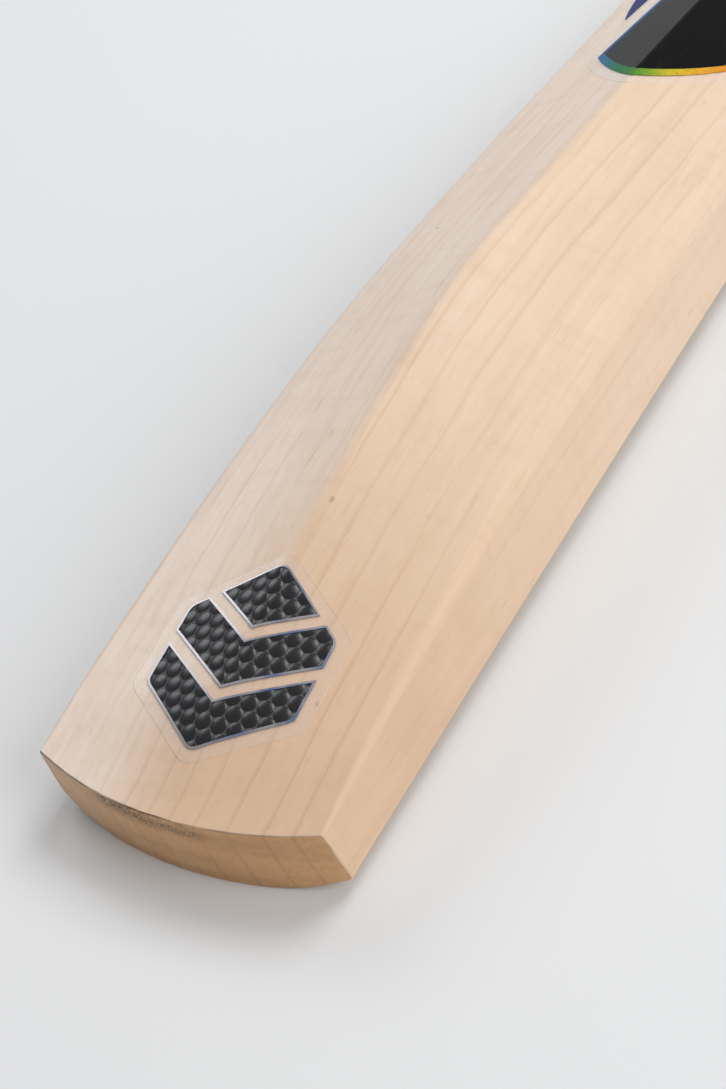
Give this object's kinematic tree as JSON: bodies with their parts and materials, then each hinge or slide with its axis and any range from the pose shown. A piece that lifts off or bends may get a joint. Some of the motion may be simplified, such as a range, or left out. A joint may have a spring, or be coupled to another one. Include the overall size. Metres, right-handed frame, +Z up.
{
  "type": "cricket bat",
  "caption": "Full-size cricket bat: a swelling ridged willow blade with a rounded toe and plain film labels, and a spliced cane handle bound in twine under a rubber grip.",
  "frame": {"origin": "under the middle of the bat, on the flat surface it lies on face down", "axes": "+Z up, out of the bat's back; +Y from the toe to the handle; +X across the blade, to the right when looking from the toe to the handle with the back up"},
  "size_m": [0.1068, 0.8559, 0.0697],
  "materials": {
    "willow": "pale willow, sanded and waxed to a low sheen",
    "cane": "laminated cane, sanded",
    "spring_rubber": "matte brown rubber sheet",
    "twine": "waxed linen twine, tightly wound",
    "grip_rubber": "matte rubber with raised chevron ridges",
    "clear_film": "clear glossy film",
    "badge_black": "black embossed film, glossy",
    "badge_rim": "silver foil rim",
    "label_black": "black film, satin",
    "label_hem": "metallic foil graded from blue through green to yellow",
    "label_blue": "deep blue foil"
  },
  "bodies": {
    "root": {"blade": "willow", "cane_face_outer_left": "cane", "cane_face_outer_centre": "cane", "cane_face_outer_right": "cane", "cane_face_inner_left": "cane", "cane_face_inner_centre": "cane", "cane_face_inner_right": "cane", "cane_back_inner_left": "cane", "cane_back_inner_centre": "cane", "cane_back_inner_right": "cane", "cane_back_outer_left": "cane", "cane_back_outer_centre": "cane", "cane_back_outer_right": "cane", "rubber_spring_face": "spring_rubber", "rubber_spring_middle": "spring_rubber", "rubber_spring_back": "spring_rubber", "twine_binding": "twine", "grip": "grip_rubber", "badge_film": "clear_film", "badge_toe_panel": "badge_black", "badge_chevron_panel": "badge_black", "badge_crown_panel": "badge_black", "badge_rims": "badge_rim", "label_film": "clear_film", "label_panel": "label_black", "label_hem": "label_hem", "label_side_trims": "label_blue", "flash_film_left": "clear_film", "flash_panel_left": "label_blue", "flash_film_right": "clear_film", "flash_panel_right": "label_blue"}
  },
  "joints": []
}
